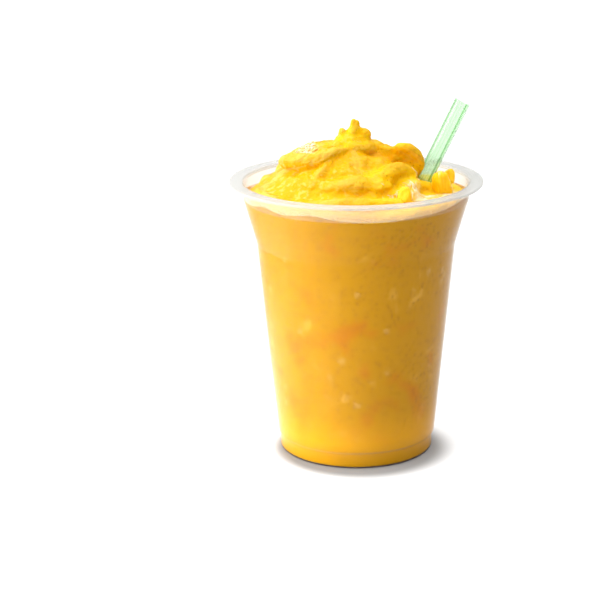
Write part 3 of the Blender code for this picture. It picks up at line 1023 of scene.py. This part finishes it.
straw_below = (STRAW_ENTRY.z - STRAW_FOOT_HEIGHT) / STRAW_AXIS.z
straw_length = straw_below + STRAW_ABOVE
bore = STRAW_RADIUS - STRAW_WALL
straw_outline = [
    (bore, 0.0),
    (bore, straw_length),
    (STRAW_RADIUS, straw_length),
    (STRAW_RADIUS, 0.0),
    (bore, 0.0),
]
straw_mesh = spun(with_holding_points(straw_outline, STRAW_HOLD), STRAW_SIDES)
round_rings(straw_mesh, STRAW_CORNER, STRAW_ROUND, 2)
line = straw_mesh.verts.layers.float.new("line")
for vertex in straw_mesh.verts:
    around = math.degrees(math.atan2(vertex.co.y, vertex.co.x))
    for angle, width, strength in STRAW_LINES:
        vertex[line] = max(vertex[line], strength * bell(turn_between(around, angle), width))
straw_lean = Vector((0, 0, 1)).rotation_difference(STRAW_AXIS).to_matrix().to_4x4()
straw_foot = Matrix.Translation(STRAW_ENTRY - STRAW_AXIS * straw_below)
bmesh.ops.transform(straw_mesh, matrix=straw_foot @ straw_lean, verts=straw_mesh.verts)
straw_plastic = clear_plastic("green_straw_plastic", STRAW_GREEN, 0.12, 0.90, 1.26)
straw_tree = straw_plastic.node_tree
# The strong lines paint the shade of the tube's walls seen edge-on
colour = mixed(straw_tree, attribute(straw_tree, "line"), STRAW_GREEN, STRAW_SHADE_GREEN)
feed(straw_tree, "Base Color", colour)
tint = add_node(
    straw_tree, "ShaderNodeVolumeAbsorption", Color=STRAW_TINT, Density=STRAW_DENSITY,
)
straw_output = straw_tree.nodes["Material Output"]
link(straw_tree, tint.outputs["Volume"], straw_output.inputs["Volume"])
straw = add_piece("straw_tube", straw_mesh, straw_plastic)
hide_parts("straw")


# Three small pieces of ripe mango lie on the smoothie at the right of the straw.
# They are cut with a knife, so they have soft corners, and their sides show fibres.
# Place, half sizes and turns in millimetres and degrees, by node
MANGO = {
    "mango_chunk_1": ((31.8, -7.6, 104.8), (3.3, 3.3, 4.6), (14, -4, 28)),
    "mango_chunk_2": ((17.8, -25.0, 104.0), (2.3, 2.4, 3.2), (-10, 8, -18)),
    "mango_chunk_3": ((35.0, 2.4, 105.2), (2.0, 2.0, 2.5), (10, 16, 35)),
}
MANGO_FINENESS = 5
MANGO_SQUARE = 2.9
MANGO_TAPER = 0.26
MANGO_LEAN = -0.10
# Bulges, fibres and pits: height as a share of the half size, then how close
# together they are across and along the piece
MANGO_RELIEF = ((0.22, 1.1, 1.1), (0.03, 6.0, 1.2), (0.010, 9.0, 9.0))
MANGO_SHIFT = Vector((5.3, 2.1, 3.7))


def mango_piece(half_sizes, seed):
    """Ball drawn out to soft corners, leaning and tapered, with fibres along it."""
    bm = bmesh.new()
    bmesh.ops.create_icosphere(bm, subdivisions=MANGO_FINENESS, radius=1.0)
    for vertex in bm.verts:
        powers = sum(abs(part) ** MANGO_SQUARE for part in vertex.co)
        vertex.co /= powers ** (1 / MANGO_SQUARE)
    bm.normal_update()
    for vertex in bm.verts:
        x, y, z = vertex.co
        rise = 0.0
        for height, across, along in MANGO_RELIEF:
            place = Vector((x * across, y * across, z * along)) + seed * MANGO_SHIFT
            rise += height * noise.noise(place)
        narrow = 1.0 - MANGO_TAPER * z
        vertex.co = Vector((x * narrow + MANGO_LEAN * z, y * narrow, z)) + vertex.normal * rise
    for vertex in bm.verts:
        vertex.co = Vector([part * half * MM for part, half in zip(vertex.co, half_sizes)])
    return bm


MANGO_FLESH = (0.88, 0.50, 0.002, 1.0)
MANGO_LIGHT = (0.90, 0.60, 0.015, 1.0)
MANGO_BUMP = 0.0001
mango_flesh = plain_material(
    "mango_flesh", MANGO_FLESH, 0.34, IOR=1.3,
    Subsurface_Weight=0.4, Subsurface_Radius=(1.0, 0.5, 0.08), Subsurface_Scale=0.002,
)
mango_tree = mango_flesh.node_tree
stringy = effect(mango_tree, patches, Scale=900, Detail=3, Low=0.38, High=0.70, Upright=0.22)
feed(mango_tree, "Base Color", mixed(mango_tree, stringy, MANGO_FLESH, MANGO_LIGHT))
rough = effect(mango_tree, patches, Scale=1500, Detail=2, Low=0.2, High=0.8)
add_bump(mango_tree, rough, MANGO_BUMP)
mango_surfaces = []
for seed, (node, (place, half_sizes, turns)) in enumerate(MANGO.items()):
    piece_mesh = mango_piece(half_sizes, seed)
    turn = Matrix.Identity(4)
    for axis, degrees in zip("XYZ", turns):
        turn = Matrix.Rotation(math.radians(degrees), 4, axis) @ turn
    set_down = Matrix.Translation(Vector(place) * MM) @ turn
    bmesh.ops.transform(piece_mesh, matrix=set_down, verts=piece_mesh.verts)
    mango_surfaces.append(BVHTree.FromBMesh(piece_mesh))
    piece = add_piece(node + "_flesh", piece_mesh, mango_flesh)
    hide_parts(node)


# Threads and slivers of ice and mango fibre lie on the smoothie: many round the
# pieces of mango, a patch on the left shoulder, some under the curl at the right.
# Middle, spread, count, length, thickness and main heading in millimetres and degrees
ICY_PATCHES = (
    ((25, -17.5), (9, 5), 130, (1.2, 4.0), (0.10, 0.20), -20),
    ((14, -23.5), (7, 3), 40, (1.0, 3.0), (0.09, 0.18), -10),
    ((33, -10), (5, 8), 60, (1.2, 3.4), (0.10, 0.20), -60),
    ((-18.6, -4.6), (4, 3.6), 70, (0.5, 1.3), (0.26, 0.50), 20),
    ((20.6, -7.7), (3.4, 1.0), 45, (0.4, 1.1), (0.14, 0.28), 10),
)
ICY_SEED = 7
THREAD_SIDES = 5
THREAD_CUTS = 6
THREAD_BEND = 55
THREAD_SPREAD = 38
THREAD_FLATNESS = 0.8
THREAD_FULLNESS = 0.6
THREAD_TIP = 0.08
THREAD_RISE = 0.35
# A thread that comes this near the neck, or jumps by this many of its steps, is left out
NECK_MARGIN = 0.003
THREAD_JUMP = 3.0
ABOVE_ALL = 0.15


def top_surface(x, y):
    """Highest point and normal of the smoothie and the mango under the open sky."""
    best = None
    for tree in [surface] + mango_surfaces:
        place, normal, _, _ = tree.ray_cast(Vector((x, y, ABOVE_ALL)), Vector((0, 0, -1)))
        if place and (best is None or place.z > best[0].z):
            best = (place, normal)
    return best


def thread_path(x, y, heading, bend, length):
    """Points and normals of the surface under a thread, or None where it cannot lie."""
    path = []
    for _ in range(THREAD_CUTS + 1):
        found = top_surface(x, y)
        if found is None or math.hypot(x, y) > NECK_RADIUS - NECK_MARGIN:
            return None
        path.append(found)
        x += math.cos(heading) * length / THREAD_CUTS
        y += math.sin(heading) * length / THREAD_CUTS
        heading += bend / THREAD_CUTS
    steps = [(after[0] - before[0]).length for before, after in zip(path, path[1:])]
    return path if max(steps) <= THREAD_JUMP * length / THREAD_CUTS else None


pattern = bmesh.new()
bmesh.ops.create_cone(
    pattern, cap_ends=True, segments=THREAD_SIDES, radius1=1.0, radius2=1.0, depth=1.0,
)
for cut in range(1, THREAD_CUTS):
    bmesh.ops.bisect_plane(
        pattern, geom=pattern.verts[:] + pattern.edges[:] + pattern.faces[:], dist=1e-6,
        plane_co=(0, 0, cut / THREAD_CUTS - 0.5), plane_no=(0, 0, 1),
    )
pattern_data = mesh_from("thread_pattern", pattern)
dice = random.Random(ICY_SEED)
icy_mesh = bmesh.new()
for middle, spread, count, lengths, halves, main in ICY_PATCHES:
    for _ in range(count):
        x = (middle[0] + dice.triangular(-1, 1, 0) * spread[0]) * MM
        y = (middle[1] + dice.triangular(-1, 1, 0) * spread[1]) * MM
        heading = math.radians(main + dice.gauss(0, THREAD_SPREAD))
        bend = math.radians(dice.uniform(-THREAD_BEND, THREAD_BEND))
        length = dice.uniform(*lengths) * MM
        half = dice.uniform(*halves) * MM
        path = thread_path(x, y, heading, bend, length)
        if path is None:
            continue
        known = len(icy_mesh.verts)
        icy_mesh.from_mesh(pattern_data)
        for vertex in list(icy_mesh.verts)[known:]:
            step = round((vertex.co.z + 0.5) * THREAD_CUTS)
            place, normal = path[step]
            ahead = path[min(step + 1, THREAD_CUTS)][0] - path[max(step - 1, 0)][0]
            aside = normal.cross(ahead).normalized()
            along = THREAD_TIP + (1.0 - 2.0 * THREAD_TIP) * step / THREAD_CUTS
            taper = half * math.sin(math.pi * along) ** THREAD_FULLNESS
            rise = THREAD_RISE * half + vertex.co.y * taper * THREAD_FLATNESS
            vertex.co = place + normal * rise + aside * vertex.co.x * taper
bpy.data.meshes.remove(pattern_data)
bmesh.ops.recalc_face_normals(icy_mesh, faces=icy_mesh.faces)
ICY_CREAM = (0.82, 0.52, 0.14, 1.0)
ICY_WHITE = (0.86, 0.74, 0.46, 1.0)
icy_skin = plain_material(
    "icy_fibre", ICY_CREAM, 0.2,
    Subsurface_Weight=0.3, Subsurface_Radius=(1.0, 0.7, 0.4), Subsurface_Scale=0.0006,
)
icy_tree = icy_skin.node_tree
shade = effect(icy_tree, patches, Scale=500, Detail=2, Low=0.40, High=0.62)
feed(icy_tree, "Base Color", mixed(icy_tree, shade, ICY_CREAM, ICY_WHITE))
icy = add_piece("icy_fibres", icy_mesh, icy_skin)
